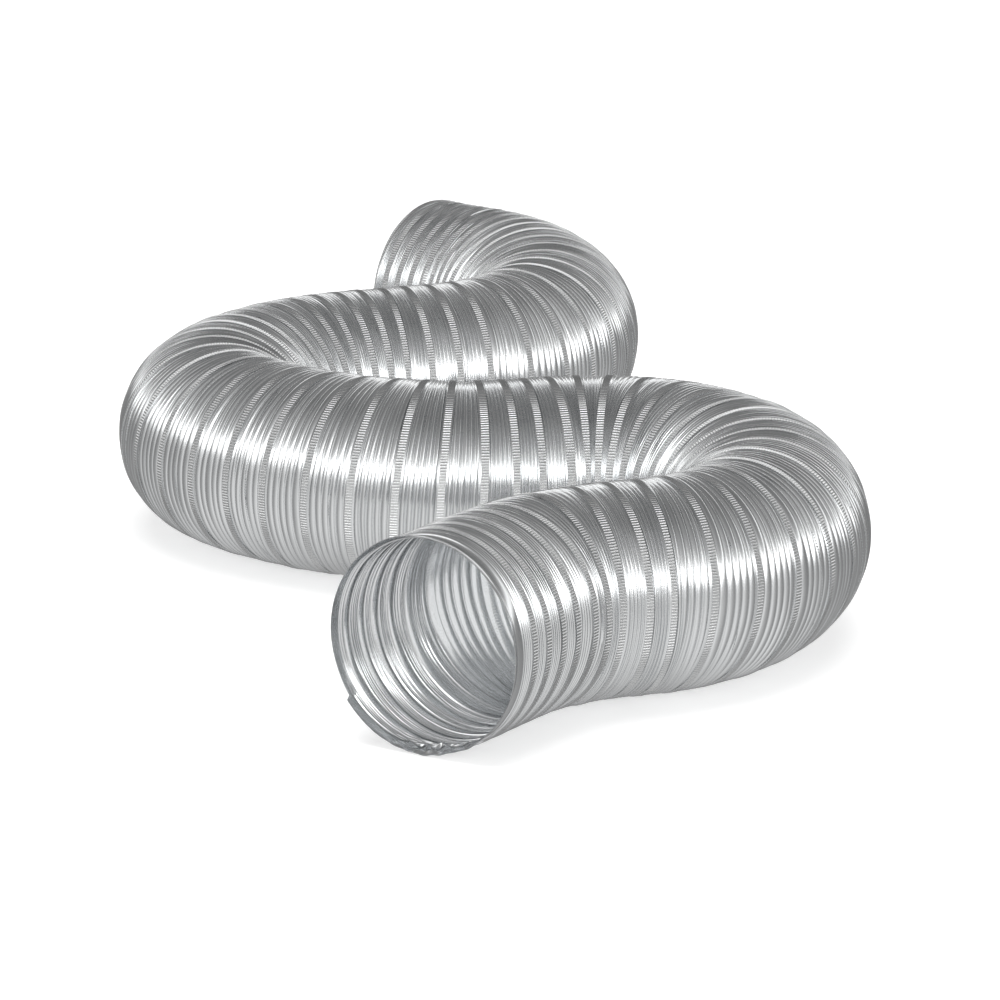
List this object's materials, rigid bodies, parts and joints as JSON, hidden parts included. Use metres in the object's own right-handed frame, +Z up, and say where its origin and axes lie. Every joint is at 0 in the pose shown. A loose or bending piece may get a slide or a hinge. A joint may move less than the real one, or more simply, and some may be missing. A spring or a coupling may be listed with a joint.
{
  "type": "flexible air duct",
  "caption": "Flexible air duct of thin corrugated metal strip with knurled spiral lock seams, lying in loose bends and open at each end; its bends open, limbs stretch and mouths lift.",
  "frame": {"origin": "centre of the duct's outline seen from above, on the surface that it lies on", "axes": "+Y from the front mouth's end towards the rear mouth's end, +X across the bends to the right seen from the front, +Z up"},
  "size_m": [0.4025, 0.8708, 0.108],
  "materials": {
    "foil": "mill-finish foil, bright, finely drawn along the strip"
  },
  "bodies": {
    "front_mouth": {"front_mouth": "foil"},
    "front_limb_1": {"front_limb_1": "foil"},
    "front_limb_2": {"front_limb_2": "foil"},
    "front_limb_3": {"front_limb_3": "foil"},
    "right_bend_1": {"right_bend_1": "foil"},
    "right_bend_2": {"right_bend_2": "foil"},
    "right_bend_3": {"right_bend_3": "foil"},
    "right_bend_4": {"right_bend_4": "foil"},
    "right_bend_5": {"right_bend_5": "foil"},
    "right_bend_6": {"right_bend_6": "foil"},
    "right_bend_7": {"right_bend_7": "foil"},
    "right_bend_8": {"right_bend_8": "foil"},
    "left_bend_1": {"left_bend_1": "foil"},
    "left_bend_2": {"left_bend_2": "foil"},
    "left_bend_3": {"left_bend_3": "foil"},
    "left_bend_4": {"left_bend_4": "foil"},
    "left_bend_5": {"left_bend_5": "foil"},
    "left_bend_6": {"left_bend_6": "foil"},
    "left_bend_7": {"left_bend_7": "foil"},
    "left_bend_8": {"left_bend_8": "foil"},
    "left_bend_9": {"left_bend_9": "foil"},
    "left_bend_10": {"left_bend_10": "foil"},
    "rear_bend_1": {"rear_bend_1": "foil"},
    "rear_bend_2": {"rear_bend_2": "foil"},
    "rear_bend_3": {"rear_bend_3": "foil"},
    "rear_bend_4": {"rear_bend_4": "foil"},
    "rear_bend_5": {"rear_bend_5": "foil"},
    "rear_bend_6": {"rear_bend_6": "foil"},
    "rear_bend_7": {"rear_bend_7": "foil"},
    "rear_mouth": {"rear_mouth": "foil"}
  },
  "joints": [
    {"name": "front_lift_3", "type": "hinge", "parent": "front_limb_1", "child": "front_mouth", "pos_m": [-0.00596, -0.37263, 0.108], "axis": [-0.8387, 0.5446, 0], "range_deg": [0, 10]},
    {"name": "front_lift_2", "type": "hinge", "parent": "front_limb_2", "child": "front_limb_1", "pos_m": [0.01583, -0.33908, 0.108], "axis": [-0.8387, 0.5446, 0], "range_deg": [0, 10]},
    {"name": "front_lift", "type": "hinge", "parent": "front_limb_3", "child": "front_limb_2", "pos_m": [0.04478, -0.31208, 0.108], "axis": [-0.4848, 0.8746, 0], "range_deg": [0, 10]},
    {"name": "front_pull", "type": "slide", "parent": "right_bend_1", "child": "front_limb_3", "axis": [-0.9336, -0.3584, 0], "range_m": [0, 0.016]},
    {"name": "right_bend_open_7", "type": "hinge", "parent": "right_bend_2", "child": "right_bend_1", "pos_m": [0.15337, -0.30984, 0.054], "axis": [0, 0, 1], "range_deg": [0, 15]},
    {"name": "right_bend_open_6", "type": "hinge", "parent": "right_bend_3", "child": "right_bend_2", "pos_m": [0.18526, -0.26074, 0.054], "axis": [0, 0, 1], "range_deg": [0, 11.5]},
    {"name": "right_bend_open_5", "type": "hinge", "parent": "right_bend_4", "child": "right_bend_3", "pos_m": [0.19947, -0.20771, 0.054], "axis": [0, 0, 1], "range_deg": [0, 9]},
    {"name": "right_bend_open_4", "type": "hinge", "parent": "right_bend_5", "child": "right_bend_4", "pos_m": [0.20036, -0.15651, 0.054], "axis": [0, 0, 1], "range_deg": [0, 10.5]},
    {"name": "right_bend_open_3", "type": "hinge", "parent": "right_bend_6", "child": "right_bend_5", "pos_m": [0.18521, -0.09996, 0.054], "axis": [0, 0, 1], "range_deg": [0, 14.5]},
    {"name": "right_bend_open_2", "type": "hinge", "parent": "right_bend_7", "child": "right_bend_6", "pos_m": [0.1478, -0.05031, 0.054], "axis": [0, 0, 1], "range_deg": [0, 17]},
    {"name": "right_bend_open", "type": "hinge", "parent": "right_bend_8", "child": "right_bend_7", "pos_m": [0.08924, -0.02048, 0.054], "axis": [0, 0, 1], "range_deg": [0, 19]},
    {"name": "middle_pull", "type": "slide", "parent": "left_bend_1", "child": "right_bend_8", "axis": [0.9563, 0.2924, 0], "range_m": [0, 0.016]},
    {"name": "left_bend_open_4", "type": "hinge", "parent": "left_bend_2", "child": "left_bend_1", "pos_m": [0.00709, -0.1368, 0.054], "axis": [0, 0, -1], "range_deg": [0, 10.5]},
    {"name": "left_bend_open_3", "type": "hinge", "parent": "left_bend_3", "child": "left_bend_2", "pos_m": [-0.05498, -0.13354, 0.054], "axis": [0, 0, -1], "range_deg": [0, 13]},
    {"name": "left_bend_open_2", "type": "hinge", "parent": "left_bend_4", "child": "left_bend_3", "pos_m": [-0.10552, -0.1121, 0.054], "axis": [0, 0, -1], "range_deg": [0, 8.5]},
    {"name": "left_bend_open", "type": "hinge", "parent": "left_bend_5", "child": "left_bend_4", "pos_m": [-0.14545, -0.08308, 0.054], "axis": [0, 0, -1], "range_deg": [0, 9]},
    {"name": "left_bend_open_5", "type": "hinge", "parent": "left_bend_5", "child": "left_bend_6", "pos_m": [-0.18191, -0.03963, 0.054], "axis": [0, 0, 1], "range_deg": [0, 15]},
    {"name": "left_bend_open_6", "type": "hinge", "parent": "left_bend_6", "child": "left_bend_7", "pos_m": [-0.20113, 0.02322, 0.054], "axis": [0, 0, 1], "range_deg": [0, 15.5]},
    {"name": "left_bend_open_7", "type": "hinge", "parent": "left_bend_7", "child": "left_bend_8", "pos_m": [-0.194, 0.08134, 0.054], "axis": [0, 0, 1], "range_deg": [0, 13.5]},
    {"name": "left_bend_open_8", "type": "hinge", "parent": "left_bend_8", "child": "left_bend_9", "pos_m": [-0.16566, 0.13463, 0.054], "axis": [0, 0, 1], "range_deg": [0, 13.5]},
    {"name": "left_bend_open_9", "type": "hinge", "parent": "left_bend_9", "child": "left_bend_10", "pos_m": [-0.12147, 0.17304, 0.054], "axis": [0, 0, 1], "range_deg": [0, 10.5]},
    {"name": "rear_pull", "type": "slide", "parent": "left_bend_10", "child": "rear_bend_1", "axis": [0.9455, 0.3256, 0], "range_m": [0, 0.016]},
    {"name": "rear_bend_open", "type": "hinge", "parent": "rear_bend_1", "child": "rear_bend_2", "pos_m": [0.00383, 0.11113, 0.054], "axis": [0, 0, -1], "range_deg": [0, 11]},
    {"name": "rear_bend_open_2", "type": "hinge", "parent": "rear_bend_2", "child": "rear_bend_3", "pos_m": [0.05282, 0.15223, 0.054], "axis": [0, 0, -1], "range_deg": [0, 15]},
    {"name": "rear_bend_open_3", "type": "hinge", "parent": "rear_bend_3", "child": "rear_bend_4", "pos_m": [0.07939, 0.2044, 0.054], "axis": [0, 0, -1], "range_deg": [0, 11]},
    {"name": "rear_bend_open_4", "type": "hinge", "parent": "rear_bend_4", "child": "rear_bend_5", "pos_m": [0.08861, 0.25665, 0.054], "axis": [0, 0, -1], "range_deg": [0, 8.5]},
    {"name": "rear_lift", "type": "hinge", "parent": "rear_bend_5", "child": "rear_bend_6", "pos_m": [0.03259, 0.29935, 0.108], "axis": [0.9877, 0.1564, 0], "range_deg": [0, 10]},
    {"name": "rear_lift_2", "type": "hinge", "parent": "rear_bend_6", "child": "rear_bend_7", "pos_m": [0.02028, 0.33723, 0.108], "axis": [0.891, 0.454, 0], "range_deg": [0, 10]},
    {"name": "rear_lift_3", "type": "hinge", "parent": "rear_bend_7", "child": "rear_mouth", "pos_m": [-0.00419, 0.36855, 0.108], "axis": [0.6561, 0.7547, 0], "range_deg": [0, 10]}
  ],
  "couplings": [
    {"joint": "front_lift_2", "follows": "front_lift", "ratio": 1},
    {"joint": "front_lift_3", "follows": "front_lift", "ratio": 1},
    {"joint": "right_bend_open_2", "follows": "right_bend_open", "ratio": 0.8947},
    {"joint": "right_bend_open_3", "follows": "right_bend_open", "ratio": 0.7631},
    {"joint": "right_bend_open_4", "follows": "right_bend_open", "ratio": 0.5526},
    {"joint": "right_bend_open_5", "follows": "right_bend_open", "ratio": 0.4736},
    {"joint": "right_bend_open_6", "follows": "right_bend_open", "ratio": 0.6052},
    {"joint": "right_bend_open_7", "follows": "right_bend_open", "ratio": 0.7894},
    {"joint": "left_bend_open_2", "follows": "left_bend_open", "ratio": 0.9444},
    {"joint": "left_bend_open_3", "follows": "left_bend_open", "ratio": 1.4444},
    {"joint": "left_bend_open_4", "follows": "left_bend_open", "ratio": 1.1666},
    {"joint": "left_bend_open_5", "follows": "left_bend_open", "ratio": 1.6666},
    {"joint": "left_bend_open_6", "follows": "left_bend_open", "ratio": 1.7222},
    {"joint": "left_bend_open_7", "follows": "left_bend_open", "ratio": 1.5},
    {"joint": "left_bend_open_8", "follows": "left_bend_open", "ratio": 1.5},
    {"joint": "left_bend_open_9", "follows": "left_bend_open", "ratio": 1.1666},
    {"joint": "rear_bend_open_2", "follows": "rear_bend_open", "ratio": 1.3636},
    {"joint": "rear_bend_open_3", "follows": "rear_bend_open", "ratio": 1},
    {"joint": "rear_bend_open_4", "follows": "rear_bend_open", "ratio": 0.7727},
    {"joint": "rear_lift_2", "follows": "rear_lift", "ratio": 1},
    {"joint": "rear_lift_3", "follows": "rear_lift", "ratio": 1}
  ]
}
